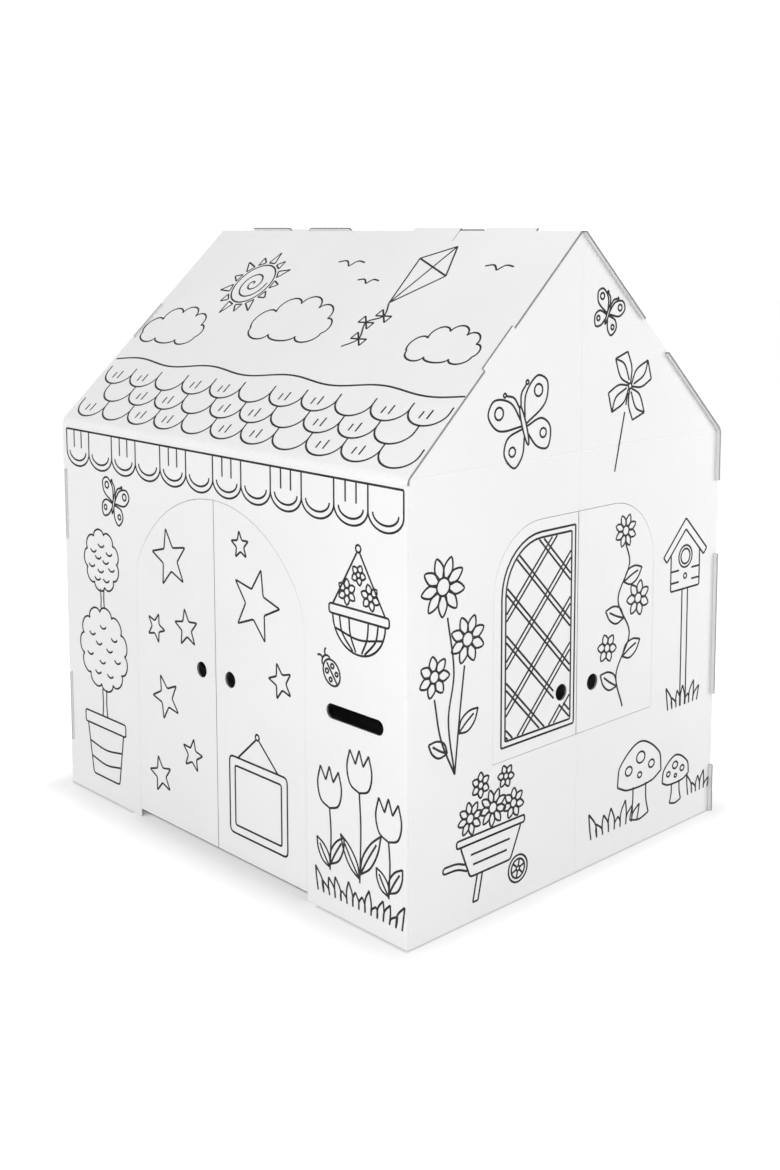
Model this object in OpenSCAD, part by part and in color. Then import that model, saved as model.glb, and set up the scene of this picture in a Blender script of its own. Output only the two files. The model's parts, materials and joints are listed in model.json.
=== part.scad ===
// Cardboard play fort. Two sheets of corrugated board, half-turn twins of each other, are folded
// into a long wall, a gable and a roof slope each, and lock together by tabs in edge notches.
// The double door and the window shutters are flaps cut in the walls and creased along one side.
// Z is up, X runs along the ridge, and the origin lies on the floor under the middle of the ridge.

/* [House] */
// Length between the outer faces of the two gables
house_l = 806; // [740:1:1000]
// Depth between the outer faces of the two long walls
house_d = 673; // [560:1:820]
// Height at which the outer faces of a long wall and its roof slope meet
eave_h = 616; // [540:1:740]
// Height at which the outer faces of the two roof slopes meet
ridge_h = 925; // [860:1:1060]

/* [Board] */
// Thickness of the corrugated board
board_t = 3; // [2:0.1:5]
// Inner radius of the fold between a long wall and its gable
corner_fold_r = 2; // [1:0.5:6]
// Inner radius of the soft fold between a long wall and its roof slope
eave_fold_r = 12; // [4:0.5:25]
// How far a wall or slope runs on past the gable of the other sheet
overhang = 6; // [3:0.5:15]
// Clearance where edges, tabs and notches of the sheets meet
seam_gap = 0.4; // [0.2:0.1:1]
// Width of the pressed creases, at the flaps and up and across each gable
crease_w = 4; // [2:0.5:8]
// Depth of the pressed creases
crease_depth = 0.6; // [0.2:0.1:1]

/* [Gable tabs] */
// How far a gable's tab stands out of the board that it goes through
gable_tab_proud = 3; // [1:0.5:8]
// Length of the tabs up a gable's free edge
edge_tab_l = 116; // [60:1:140]
// Height of the middle of the lower edge tab
low_tab_z = 134; // [80:1:180]
// Distance from the eave down to the middle of the upper edge tab
high_tab_drop = 139; // [80:1:180]
// Length of the tab half way up each rake
rake_tab_l = 78; // [40:1:120]

/* [Ridge tabs] */
// How far a long ridge tab stands out of the other slope
ridge_tab_proud = 3.5; // [2:0.5:12]
// Length of a long ridge tab
ridge_tab_l = 98; // [60:1:110]
// Distance from the middle of the ridge to the first long tab
ridge_tab_start = 72; // [20:1:100]
// Length of the hook tab that goes between the long tabs of the other slope, as high as the ridge line
hook_tab_l = 44; // [20:1:60]
// Free length of ridge on each side of a hook tab
hook_room = 4; // [2:0.5:12]
// Depth of the release slit beside a hook tab
hook_slit_l = 22; // [10:1:40]
// Width of the release slit
hook_slit_w = 1.2; // [0.6:0.1:3]

/* [Doors] */
// Width of the doorway between the two creases
doorway_w = 406; // [340:1:460]
// Distance from the eave down to the crown of the doorway
doorway_drop = 79; // [50:1:140]
// Rise of the doorway's arch
arch_rise = 160; // [120:1:190]
// Radius of the arch at its sides
arch_side_r = 110; // [70:1:115]
// Height of the doors' lower edge above the floor
door_lift = 12.5; // [4:0.5:30]

/* [Windows] */
// Width of a window between the two creases
window_w = 352; // [280:1:400]
// Height of a window's lower edge
window_sill = 207; // [160:1:240]
// Distance from the eave down to a window's upper edge
window_drop = 84; // [50:1:120]
// Radius of a window's upper corners
window_corner_r = 95; // [40:1:120]

/* [Cut-outs] */
// Gap that the knife leaves round a flap
kerf = 0.8; // [0.4:0.1:2]
// Gap between the free edges of a pair of flaps
slit = 1.2; // [0.6:0.1:3]
// Gap at a flap's crease
hinge_gap = 0.3; // [0.2:0.1:0.8]
// Diameter of the finger holes
finger_d = 24; // [18:1:34]
// Distance from a flap's free edge to the middle of its finger hole
finger_in = 34; // [24:1:60]
// Height of the finger holes
finger_z = 277; // [265:1:320]
// Length of the mail slot
mail_slot_l = 112; // [60:1:130]
// Height of the mail slot's opening
mail_slot_h = 21; // [12:1:40]
// Height of the middle of the mail slot
mail_slot_z = 285; // [240:1:420]

/* [Hidden] */
$fn = 96;
card = [0.95, 0.95, 0.94];
past = 1;
half_l = house_l / 2;
half_d = house_d / 2;
pitch = atan((ridge_h - eave_h) / half_d);
slope_l = half_d / cos(pitch);
sheet_end = half_l + overhang;
// The other sheet's board and its clearance, measured square to a face
seat = board_t + seam_gap;
// A slope ends short of the ridge line, so that the other slope's tabs pass it
ridge_back = max(seat / sin(2 * pitch), board_t * tan(pitch) + seam_gap / cos(pitch));
slope_end = slope_l - ridge_back;
corner_out_r = corner_fold_r + board_t;
eave_out_r = eave_fold_r + board_t;
eave_bend = 90 - pitch;
eave_run = eave_out_r * tan(eave_bend / 2);
wall_top = eave_h - eave_run;
// Flat facets that make up the soft fold
eave_facets = 8;
// The upright fold ends under the soft fold
corner_top = wall_top - seam_gap;
ridge_tab_top = slope_l + ridge_tab_proud;
second_tab_start = ridge_tab_start + ridge_tab_l + hook_tab_l + 2 * hook_room;
hook_start = ridge_tab_start + ridge_tab_l + hook_room;
high_tab_z = eave_h - high_tab_drop;
door_half = doorway_w / 2;
door_spring = eave_h - doorway_drop - arch_rise;
window_half = window_w / 2;
window_top = eave_h - window_drop;
// The mail slot is centred on the wall between the doorway and the corner
mail_slot_x = (door_half + half_l) / 2;
// The rake tabs are centred on the length of the slope
rake_tab_mid = slope_l / 2;
// Round tool whose edge presses a crease of the given width and depth
crease_r = (crease_w ^ 2 / 4 + crease_depth ^ 2) / (2 * crease_depth);
crease_out = crease_r - crease_depth;

// A flat outline in X and Z as a board whose outer face looks towards -Y
module front_board(extra = 0) {
    translate([0, board_t + extra - half_d, 0]) rotate([90, 0, 0])
        linear_extrude(board_t + 2 * extra) children();
}

// A flat outline in Y and Z as a board whose outer face looks towards +X
module gable_board() {
    translate([half_l - board_t, 0, 0]) rotate([90, 0, 90]) linear_extrude(board_t) children();
}

// A flat outline in X and in distance up the slope as a cutter through the front slope
module slope_cutter() {
    translate([0, -half_d, eave_h]) rotate([pitch, 0, 0])
        translate([0, 0, -board_t - past]) linear_extrude(board_t + 2 * past) children();
}

// Rectangle between two corners
module span(low, high) {
    translate(low) square(high - low);
}

// Doorway outline: straight sides and an arch of three centres
module arch_outline(half_w, low, spring) {
    crown_r = (half_w ^ 2 + arch_rise ^ 2 - 2 * half_w * arch_side_r) / (2 * (arch_rise - arch_side_r));
    crown_z = spring + arch_rise - crown_r;
    side_x = half_w - arch_side_r;
    reach = 2 * crown_r / (crown_r - arch_side_r);
    fan_x = side_x * reach;
    fan_z = crown_z + (spring - crown_z) * reach;
    span([-half_w, low], [half_w, spring]);
    for (side = [-1, 1]) translate([side * side_x, spring]) circle(arch_side_r);
    intersection() {
        translate([0, crown_z]) circle(crown_r);
        polygon([[0, crown_z], [fan_x, fan_z], [-fan_x, fan_z]]);
    }
}

// Window outline: square below, with the two upper corners rounded
module window_outline(half_w, low, high) {
    corner_x = half_w - window_corner_r;
    corner_z = high - window_corner_r;
    span([-half_w, low], [half_w, corner_z]);
    span([-corner_x, low], [corner_x, high]);
    for (side = [-1, 1]) translate([side * corner_x, corner_z]) circle(window_corner_r);
}

// Slot with round ends
module slot_outline(length, height) {
    straight = (length - height) / 2;
    span([-straight, -height / 2], [straight, height / 2]);
    for (side = [-1, 1]) translate([side * straight, 0]) circle(height / 2);
}

// Notches in the free edge of a long wall, for the edge tabs of the other sheet's gable
module wall_notches() {
    tall = edge_tab_l / 2 + seam_gap;
    for (z = [low_tab_z, high_tab_z])
        span([-sheet_end - past, z - tall], [seat - half_l, z + tall]);
}

// Doorway and mail slot of the front wall
module front_openings() {
    arch_outline(door_half, -past, door_spring);
    translate([mail_slot_x, mail_slot_z]) slot_outline(mail_slot_l, mail_slot_h);
}

// Pressed creases of the front wall's outer face, at the doors
module door_creases() {
    crease_x = door_half - hinge_gap / 2;
    for (side = [-1, 1]) translate([side * crease_x, -half_d - crease_out, -past])
        cylinder(r = crease_r, h = door_spring + past);
}

// Point of the gable's plane, from a distance up the front slope and a depth under its outer face
function rake_point(up, under) = [
    up * cos(pitch) + under * sin(pitch) - half_d,
    eave_h + up * sin(pitch) - under * cos(pitch)
];

// Points round the soft fold of the eave, at a radius from its centre
function eave_arc(r) = [
    for (i = [0:eave_facets])
        let (turn = i * eave_bend / eave_facets)
            [eave_out_r - half_d - r * cos(turn), wall_top + r * sin(turn)]
];

// Reverses a list of points
function turned(points) = [for (i = [len(points) - 1:-1:0]) points[i]];

// Section of a sheet across the ridge: long wall, soft fold and slope, as far as the ridge tabs reach
module sheet_section() {
    polygon(concat(
        [[-half_d, 0]], eave_arc(eave_out_r),
        [rake_point(ridge_tab_top, 0), rake_point(ridge_tab_top, board_t)],
        turned(eave_arc(eave_fold_r)), [[board_t - half_d, 0]]
    ));
}

// Long wall and slope of a sheet before they are cut, with room at the corner for the upright fold
module bent_board() {
    difference() {
        translate([-sheet_end, 0, 0]) rotate([90, 0, 90]) linear_extrude(sheet_end + half_l) sheet_section();
        front_board(past) span([half_l - corner_out_r, -past], [half_l + past, corner_top]);
    }
}

// Upright fold between the long wall and the gable
module corner_fold() {
    translate([half_l - corner_out_r, corner_out_r - half_d, 0]) rotate([0, 0, -90])
        rotate_extrude(angle = 90) translate([corner_fold_r, 0])
            square([board_t, corner_top - seam_gap]);
}

// Outline of the space inside the folded sheets, a clearance away from them
module inside_outline() {
    side = concat([[seat - half_d, 0]], eave_arc(eave_fold_r - seam_gap));
    apex = [0, ridge_h - seat / cos(pitch)];
    polygon(concat(side, [apex], [for (point = turned(side)) [-point[0], point[1]]]));
}

// Gable face under the two slopes, from the upright fold to the other sheet's long wall
module gable_face() {
    near = corner_out_r - half_d;
    intersection() {
        inside_outline();
        span([near, 0], [half_d, ridge_h]);
    }
}

// Tabs of a gable: two up its free edge, and one half way up each rake
module gable_tabs() {
    tall = edge_tab_l / 2;
    for (z = [low_tab_z, high_tab_z])
        span([half_d - seat - past, z - tall], [half_d + gable_tab_proud, z + tall]);
    for (side = [0, 1]) mirror([side, 0]) polygon([
        rake_point(rake_tab_mid - rake_tab_l / 2, seat + past),
        rake_point(rake_tab_mid + rake_tab_l / 2, seat + past),
        rake_point(rake_tab_mid + rake_tab_l / 2, -gable_tab_proud),
        rake_point(rake_tab_mid - rake_tab_l / 2, -gable_tab_proud)
    ]);
}

// Pressed creases of the gable's outer face: up its middle, across it at the eave, and at the shutters
module gable_creases() {
    crease_y = window_half - hinge_gap / 2;
    translate([half_l + crease_out, 0, -past]) cylinder(r = crease_r, h = ridge_h);
    translate([half_l + crease_out, corner_out_r - half_d, eave_h]) rotate([-90, 0, 0])
        cylinder(r = crease_r, h = house_d);
    for (side = [-1, 1]) translate([half_l + crease_out, side * crease_y, window_sill])
        cylinder(r = crease_r, h = window_top - window_corner_r - window_sill);
}

// Gable of a sheet, with its window
module gable() {
    difference() {
        gable_board() difference() {
            union() {
                gable_face();
                gable_tabs();
            }
            window_outline(window_half, window_sill, window_top);
        }
        gable_creases();
    }
}

// What is cut from a slope's upper edge between its tabs: two long ones at one end, a hook tab at the other
module ridge_gaps() {
    far = ridge_tab_top + past;
    difference() {
        span([-sheet_end - past, slope_end], [half_l + past, far]);
        for (start = [ridge_tab_start, second_tab_start])
            span([start, slope_end - past], [start + ridge_tab_l, far + past]);
        span([-hook_start - hook_tab_l, slope_end - past], [-hook_start, slope_l]);
    }
}

// Notches in a slope's two ends for the rake tabs, and the release slit beside the other slope's hook tab
module slope_notches() {
    long = rake_tab_l / 2 + seam_gap;
    low = rake_tab_mid - long;
    high = rake_tab_mid + long;
    slit_x = hook_start - hook_room / 2;
    span([-sheet_end - past, low], [seat - half_l, high]);
    span([half_l - seat, low], [half_l + past, high]);
    span([slit_x - hook_slit_w / 2, slope_end - hook_slit_l], [slit_x + hook_slit_w / 2, slope_end + past]);
}

// Long wall and slope of a sheet, with all their cuts
module wall_and_slope(has_doorway) {
    difference() {
        bent_board();
        front_board(past) {
            wall_notches();
            if (has_doorway) front_openings();
        }
        if (has_doorway) door_creases();
        slope_cutter() {
            ridge_gaps();
            slope_notches();
        }
    }
}

// One folded sheet: long wall, gable and slope joined by two folds
module folded_sheet(has_doorway) {
    color(card) union() {
        wall_and_slope(has_doorway);
        corner_fold();
        gable();
    }
}

// Finger hole of a flap, on the given side of the slit
module finger_hole(side) {
    translate([side * (finger_in + slit / 2), finger_z]) circle(d = finger_d);
}

// Strip that holds one flap of a pair, from the slit outwards
module flap_side(side, half_w) {
    if (side < 0) span([-half_w, 0], [-slit / 2, eave_h]);
    else span([slit / 2, 0], [half_w, eave_h]);
}

// One door of the pair
module door(side) {
    half_w = door_half - hinge_gap;
    color(card) difference() {
        front_board() difference() {
            intersection() {
                arch_outline(half_w, door_lift, door_spring - kerf);
                flap_side(side, half_w);
            }
            finger_hole(side);
        }
        door_creases();
    }
}

// One shutter of the right gable's window
module shutter(side) {
    half_w = window_half - hinge_gap;
    color(card) difference() {
        gable_board() difference() {
            intersection() {
                window_outline(half_w, window_sill + kerf, window_top - kerf);
                flap_side(side, half_w);
            }
            finger_hole(side);
        }
        gable_creases();
    }
}

module front_half() { folded_sheet(true); }
module rear_half() { rotate([0, 0, 180]) folded_sheet(false); }
module left_door() { door(-1); }
module right_door() { door(1); }
module right_front_shutter() { shutter(-1); }
module right_rear_shutter() { shutter(1); }
module left_front_shutter() { rotate([0, 0, 180]) shutter(1); }
module left_rear_shutter() { rotate([0, 0, 180]) shutter(-1); }

front_half();
rear_half();
left_door();
right_door();
right_front_shutter();
right_rear_shutter();
left_front_shutter();
left_rear_shutter();
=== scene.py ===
"""Visual model of a white cardboard play fort, printed with line drawings to colour in."""

import json
import logging
import math
from collections.abc import Callable, Iterable, Sequence
from dataclasses import dataclass, field
from enum import Enum
from typing import Any

import bpy
from mathutils import Matrix, Vector


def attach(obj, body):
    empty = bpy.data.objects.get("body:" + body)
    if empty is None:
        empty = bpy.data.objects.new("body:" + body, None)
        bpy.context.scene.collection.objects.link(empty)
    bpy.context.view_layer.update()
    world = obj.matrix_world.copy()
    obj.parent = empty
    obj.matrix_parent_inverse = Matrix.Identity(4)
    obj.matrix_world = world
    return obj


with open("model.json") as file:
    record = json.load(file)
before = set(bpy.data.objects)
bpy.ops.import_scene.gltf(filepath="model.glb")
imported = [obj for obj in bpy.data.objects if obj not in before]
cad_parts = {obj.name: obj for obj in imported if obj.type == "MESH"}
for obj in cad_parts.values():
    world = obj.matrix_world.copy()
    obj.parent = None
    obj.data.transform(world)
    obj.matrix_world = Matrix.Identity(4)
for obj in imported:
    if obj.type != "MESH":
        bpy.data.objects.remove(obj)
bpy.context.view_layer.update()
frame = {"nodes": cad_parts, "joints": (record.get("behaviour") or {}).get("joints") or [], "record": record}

log = logging.getLogger("fort")

Point = tuple[float, float]
Triple = tuple[float, float, float]

# The card's sizes are in metres. Its hinges lie in the outer faces of the walls.
MM = 0.001
hinges = {joint["name"]: joint["pos_m"] for joint in frame["joints"]}
HALF_L = hinges["right_front_shutter_swing"][0]
HALF_D = -hinges["left_door_swing"][1]
BOARD_T = 3 * MM
FLUTE_PITCH = 6.5 * MM
PITCH = math.radians(42.56)
EAVE_OUTER_R = 15 * MM
EAVE_CENTRE_Y = HALF_D - EAVE_OUTER_R
EAVE_CENTRE_Z = 0.6094
CORNER_R = 5 * MM
CORNER_CENTRE = (HALF_L - CORNER_R, HALF_D - CORNER_R)
RAKE_TAB_MID = 0.2218
RAKE_TAB_HALF = 0.0393
SLIT_HALF = 2 * MM

# All finger holes have the same place in their panels, on either side of the middle.
openings = {opening["name"]: opening["box_m"] for opening in frame["record"]["physics"]["openings"]}
finger_low, finger_high = openings["right_door_finger_hole"]
FINGER_IN = (finger_low[0] + finger_high[0]) / 2
FINGER_Z = (finger_low[2] + finger_high[2]) / 2
FINGER_R = 14 * MM

WHITE_CARD = (0.82, 0.82, 0.817)
CARD_SPECULAR = 0.25

# The drawings are in millimetres. A rounded corner takes at most CORNER_SHARE of each side,
# and a clipped line is cut every CLIP_STEP and kept where CLIP_LEAST points in a row are inside.
LEAST_PARTS = 8
LEAST_LENGTH = 1e-6
CORNER_SHARE = 0.45
CLIP_STEP = 1.0
CLIP_LEAST = 5


class Surface(Enum):
    """Which skin of the board a face of the card belongs to."""

    OUTER = "outer"
    INNER = "inner"
    FOLD = "fold"
    EDGE = "edge"
    KERF = "kerf"


class Axis(Enum):
    """Direction across the flutes of a board, as an index into a point."""

    ALONG_X = 0
    ALONG_Y = 1


@dataclass(frozen=True)
class Grain:
    """A soft noise: its blotches per metre and its octaves of finer noise."""

    scale: float
    detail: float


class Value:
    """A number that changes over a surface, held as a node's output socket."""

    def __init__(self, book: "NodeBook", socket: bpy.types.NodeSocket) -> None:
        """Keeps the socket and the node book that further nodes go into."""
        self.book = book
        self.socket = socket

    def _math(self, operation: str, first: Any, second: Any = 0.0) -> "Value":
        """Adds one Math node, whose operands are values or numbers."""
        return self.book.value("ShaderNodeMath", {"operation": operation}, {0: first, 1: second})

    def __add__(self, other: Any) -> "Value":
        """Sum of this value and another."""
        return self._math("ADD", self, other)

    def __radd__(self, other: Any) -> "Value":
        """Sum of a number and this value."""
        return self._math("ADD", other, self)

    def __sub__(self, other: Any) -> "Value":
        """Difference of this value and another."""
        return self._math("SUBTRACT", self, other)

    def __rsub__(self, other: Any) -> "Value":
        """Difference of a number and this value."""
        return self._math("SUBTRACT", other, self)

    def __mul__(self, other: Any) -> "Value":
        """Product of this value and another."""
        return self._math("MULTIPLY", self, other)

    def __rmul__(self, other: Any) -> "Value":
        """Product of a number and this value."""
        return self._math("MULTIPLY", other, self)

    def __abs__(self) -> "Value":
        """Size of this value without its sign."""
        return self._math("ABSOLUTE", self)

    def sine(self) -> "Value":
        """Sine of this value, in radians."""
        return self._math("SINE", self)

    def root(self) -> "Value":
        """Square root of this value."""
        return self._math("SQRT", self)

    def larger(self, other: Any) -> "Value":
        """The larger of this value and another."""
        return self._math("MAXIMUM", self, other)

    def ramp(self, low: float, high: float) -> "Value":
        """Rises smoothly from 0 to 1 between two levels.

        Args:
            low: Level at which the result is 0.
            high: Level at which the result is 1.

        Returns:
            The smooth step as a value.
        """
        settings = {"interpolation_type": "SMOOTHSTEP"}
        sockets = {"Value": self, "From Min": low, "From Max": high}
        return self.book.value("ShaderNodeMapRange", settings, sockets)


class NodeBook:
    """The node tree of one material or of the world, filled one node at a time."""

    def __init__(self, tree: bpy.types.NodeTree) -> None:
        """Empties the tree."""
        self.tree = tree
        tree.nodes.clear()

    def node(
        self,
        kind: str,
        settings: dict[str, Any] | None = None,
        sockets: dict[str | int, Any] | None = None,
    ) -> bpy.types.Node:
        """Adds a node.

        Args:
            kind: The node's type.
            settings: Properties that are set before its sockets.
            sockets: A number, colour, value or socket for each input, by name or index.

        Returns:
            The new node.
        """
        node = self.tree.nodes.new(kind)
        for name, setting in (settings or {}).items():
            setattr(node, name, setting)
        for name, given in (sockets or {}).items():
            source = given.socket if isinstance(given, Value) else given
            if isinstance(source, bpy.types.NodeSocket):
                self.tree.links.new(source, node.inputs[name])
            else:
                node.inputs[name].default_value = source
        return node

    def value(
        self,
        kind: str,
        settings: dict[str, Any] | None = None,
        sockets: dict[str | int, Any] | None = None,
        output: str | int = 0,
    ) -> Value:
        """Adds a node and takes one of its outputs, by name or index."""
        return Value(self, self.node(kind, settings, sockets).outputs[output])

    def place(self) -> Value:
        """Object coordinates, in metres."""
        return self.value("ShaderNodeTexCoord", output="Object")

    def axis(self, place: Value, direction: Sequence[float]) -> Value:
        """Distance of a place along a direction, which is a unit vector."""
        sockets = {0: place, 1: tuple(direction)}
        return self.value("ShaderNodeVectorMath", {"operation": "DOT_PRODUCT"}, sockets, "Value")

    def noise(self, place: Value, grain: Grain) -> Value:
        """Soft noise about 0.5, read at a place."""
        sockets = {"Vector": place, "Scale": grain.scale, "Detail": grain.detail}
        return self.value("ShaderNodeTexNoise", None, sockets)

    def wave(self, place: Value, flutes: Axis) -> Value:
        """Wave of the board's flutes, from -1 to 1."""
        across = tuple(float(i == flutes.value) for i in range(3))
        return (self.axis(place, across) * (2 * math.pi / FLUTE_PITCH)).sine()

    def blend(self, share: Value, low: Triple | Value, high: Triple) -> Value:
        """Colour between two colours.

        Args:
            share: 0 for the first colour and 1 for the second.
            low: First colour, plain or from other nodes.
            high: Second colour.

        Returns:
            The mixed colour.
        """
        node = self.node("ShaderNodeMix", {"data_type": "RGBA"}, {"Factor": share})
        first, second = (s for s in node.inputs if s.type == "RGBA")
        if isinstance(low, Value):
            self.tree.links.new(low.socket, first)
        else:
            first.default_value = (*low, 1.0)
        second.default_value = (*high, 1.0)
        return Value(self, next(s for s in node.outputs if s.type == "RGBA"))

    def principled(self, sockets: dict[str | int, Any]) -> None:
        """Closes the tree with one surface, whose shader has the sockets given."""
        shader = self.node("ShaderNodeBsdfPrincipled", None, sockets)
        self.node("ShaderNodeOutputMaterial", None, {"Surface": shader.outputs[0]})

    def matt(self, colour: Value, roughness: Value, height: Value, reach: float) -> None:
        """Closes the tree with the matt surface of card or ink.

        Args:
            colour: Base colour.
            roughness: Roughness.
            height: Relief, where 1 is as high as reach.
            reach: Height of the relief in metres.
        """
        relief = self.value("ShaderNodeBump", None, {"Distance": reach, "Height": height})
        sockets = {"Base Color": colour, "Roughness": roughness, "Normal": relief}
        self.principled({**sockets, "Specular IOR Level": CARD_SPECULAR})


def new_material(name: str) -> tuple[bpy.types.Material, NodeBook]:
    """Makes an empty node material.

    Args:
        name: The material's name.

    Returns:
        The material and the book of its nodes.
    """
    material = bpy.data.materials.new(name)
    material.use_nodes = True
    return material, NodeBook(material.node_tree)


def add_object(operator: Callable[..., Any], name: str, **settings: Any) -> bpy.types.Object:
    """Adds an object with nothing else selected.

    Args:
        operator: The operator that adds it.
        name: The object's name.
        settings: What the operator is given.

    Returns:
        The new object.
    """
    bpy.ops.object.select_all(action="DESELECT")
    operator(**settings)
    added = bpy.context.object
    added.name = name
    return added


@dataclass(frozen=True)
class LinerFinish:
    """Paper liner of the board: clouded tone, fibres, and the faint ripple of the flutes, in its bumps and as
    painted shade in its colour.
    """

    name: str
    flutes: Axis
    tone: Triple
    # Painted shade: stripes along the flutes, lighter and darker as their ripples catch the light.
    ripple_shade: float = 0.05
    sway_rise: float = 1.44
    cracks: float = 0.0
    spread: float = 0.06
    cloud: Grain = Grain(7.0, 3.0)
    fibre: Grain = Grain(620.0, 4.0)
    speck: Grain = Grain(1900.0, 1.0)
    crack: Grain = Grain(240.0, 6.0)
    sway: Grain = Grain(3.1, 1.0)
    speck_edge: Point = (0.66, 0.78)
    crack_edge: Point = (0.52, 0.7)
    cloud_share: float = 0.55
    fibre_share: float = 0.4
    speck_share: float = 0.25
    smoothest: float = 0.52
    fibre_roughness: float = 0.24
    cloud_roughness: float = 0.08
    flute_rise: float = 0.018
    fibre_rise: float = 0.03
    crack_depth: float = 0.1

    def material(self) -> bpy.types.Material:
        """Builds the finish.

        Returns:
            The material.
        """
        material, book = new_material(self.name)
        place = book.place()
        flute = book.wave(place, self.flutes)
        cloud = book.noise(place, self.cloud)
        fibre = book.noise(place, self.fibre)
        speck = book.noise(place, self.speck).ramp(*self.speck_edge)
        worn = book.noise(place, self.crack).ramp(*self.crack_edge) * self.cracks
        paper = cloud * self.cloud_share + fibre * self.fibre_share
        # The flutes' wave also goes into the colour as painted shade.
        share = paper + flute * self.ripple_shade - speck * self.speck_share - worn
        low = tuple(c * (1 - self.spread) for c in self.tone)
        high = tuple(min(1.0, c * (1 + self.spread)) for c in self.tone)
        colour = book.blend(share, low, high)
        roughness = self.smoothest + fibre * self.fibre_roughness + cloud * self.cloud_roughness
        sway = book.noise(place, self.sway) * self.sway_rise
        height = sway + flute * self.flute_rise + fibre * self.fibre_rise - worn * self.crack_depth
        book.matt(colour, roughness, height, MM)
        return material


@dataclass(frozen=True)
class CutEdgeFinish:
    """Cut through the board: the waved paper, with painted shade between its waves, and two crushed liners.

    Its places are in millimetres from the middle of the board. Where the outer liner is rolled over
    the cut, rolled says how much of the cut it hides.
    """

    name: str
    flutes: Axis
    normal: Triple
    reach: float
    rolled: float = 0.0
    rolled_blur: float = 0.3
    paper: Triple = (0.5, 0.5, 0.49)
    # Painted shade: the dark colour of the flutes' openings between the waves.
    hollow_shade: Triple = (0.13, 0.13, 0.126)
    crushed: Triple = (0.26, 0.26, 0.255)
    fibre: Grain = Grain(900.0, 4.0)
    wave_swing: float = 0.9
    core_edge: Point = (0.25, 0.6)
    liner_edge: Point = (0.92, 1.1)
    core_share: float = 0.72
    liner_share: float = 0.7
    fibre_share: float = 0.5
    smoothest: float = 0.7
    fibre_roughness: float = 0.25
    fibre_rise: float = 0.3
    relief: float = 0.4 * MM

    def material(self) -> bpy.types.Material:
        """Builds the finish.

        Returns:
            The material.
        """
        material, book = new_material(self.name)
        place = book.place()
        wave = book.wave(place, self.flutes)
        middle = (book.axis(place, self.normal) - (self.reach - BOARD_T / 2)) * (1 / MM)
        core = 1.0 - abs(middle - wave * self.wave_swing).ramp(*self.core_edge)
        fibre = book.noise(place, self.fibre)
        liners = abs(middle).ramp(*self.liner_edge)
        # Between the waves the cut gets the painted shade colour.
        waved = book.blend(core * (self.core_share + fibre * self.fibre_share), self.hollow_shade, self.paper)
        colour = book.blend(liners * (self.liner_share + fibre * self.fibre_share), waved, self.crushed)
        if self.rolled:
            rim, blur = BOARD_T / 2 / MM, self.rolled * self.rolled_blur
            shown = middle.ramp(rim - self.rolled - blur, rim - self.rolled + blur)
            colour = book.blend(shown, colour, WHITE_CARD)
        roughness = self.smoothest + fibre * self.fibre_roughness
        book.matt(colour, roughness, liners.larger(core) + fibre * self.fibre_rise, self.relief)
        return material


@dataclass(frozen=True)
class InkFinish:
    """Matt black printing ink with the small unevenness of print on rough card."""

    name: str
    full: Triple = (0.012, 0.012, 0.013)
    thin: Triple = (0.05, 0.05, 0.051)
    grain: Grain = Grain(700.0, 3.0)
    wander: Grain = Grain(25.0, 2.0)
    grain_share: float = 0.7
    wander_share: float = 0.5
    thin_edge: Point = (0.45, 0.85)
    smoothest: float = 0.5
    grain_roughness: float = 0.2
    relief: float = 0.02 * MM

    def material(self) -> bpy.types.Material:
        """Builds the finish.

        Returns:
            The material.
        """
        material, book = new_material(self.name)
        place = book.place()
        grain = book.noise(place, self.grain)
        wander = book.noise(place, self.wander)
        thinned = (grain * self.grain_share + wander * self.wander_share).ramp(*self.thin_edge)
        colour = book.blend(thinned, self.full, self.thin)
        book.matt(colour, self.smoothest + grain * self.grain_roughness, grain, self.relief)
        return material


@dataclass(frozen=True)
class FlapZone:
    """Part of a panel that a pair of flaps is cut from: half its width, its foot and its head, in metres."""

    half: float
    foot: float
    head: float


@dataclass(frozen=True)
class Panel:
    """One flat side of the fort, with its own across and up directions for the drawings."""

    name: str
    corner: Triple
    across: Triple
    up: Triple
    flaps: FlapZone | None = None

    @property
    def normal(self) -> Vector:
        """Direction out of the panel."""
        return Vector(self.across).cross(Vector(self.up))

    @property
    def reach(self) -> float:
        """Distance from the frame's origin to the panel's outer face."""
        return self.normal.dot(Vector(self.corner))

    @property
    def flutes(self) -> Axis:
        """Direction across the flutes, which run up the panel."""
        return Axis.ALONG_X if self.across[0] else Axis.ALONG_Y

    def cut_skin(self, spot: Vector) -> Surface:
        """Says how a cut through the board looks.

        Args:
            spot: Middle of a face of the cut.

        Returns:
            KERF for the narrow cut round a pair of flaps and for a gable's edge tabs, and EDGE for any other.
        """
        if self.flaps is None:
            return Surface.EDGE
        place = spot - Vector(self.corner)
        u, v = abs(Vector(self.across).dot(place)), Vector(self.up).dot(place)
        on_tab = self.flutes is Axis.ALONG_Y and u > HALF_D
        in_zone = SLIT_HALF < u < self.flaps.half and self.flaps.foot < v < self.flaps.head
        in_hole = math.hypot(u - FINGER_IN, v - FINGER_Z) < FINGER_R
        return Surface.KERF if on_tab or (in_zone and not in_hole) else Surface.EDGE

    def matrix(self, lift: float) -> Matrix:
        """Carries a drawing in millimetres onto the panel.

        Args:
            lift: Height of the drawing's middle above the card, in metres.

        Returns:
            The matrix from the drawing to the frame.
        """
        turn = Matrix((self.across, self.up, self.normal)).transposed().to_4x4()
        spot = Vector(self.corner) + self.normal * lift
        return Matrix.Translation(spot) @ turn @ Matrix.Scale(MM, 4)


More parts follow.
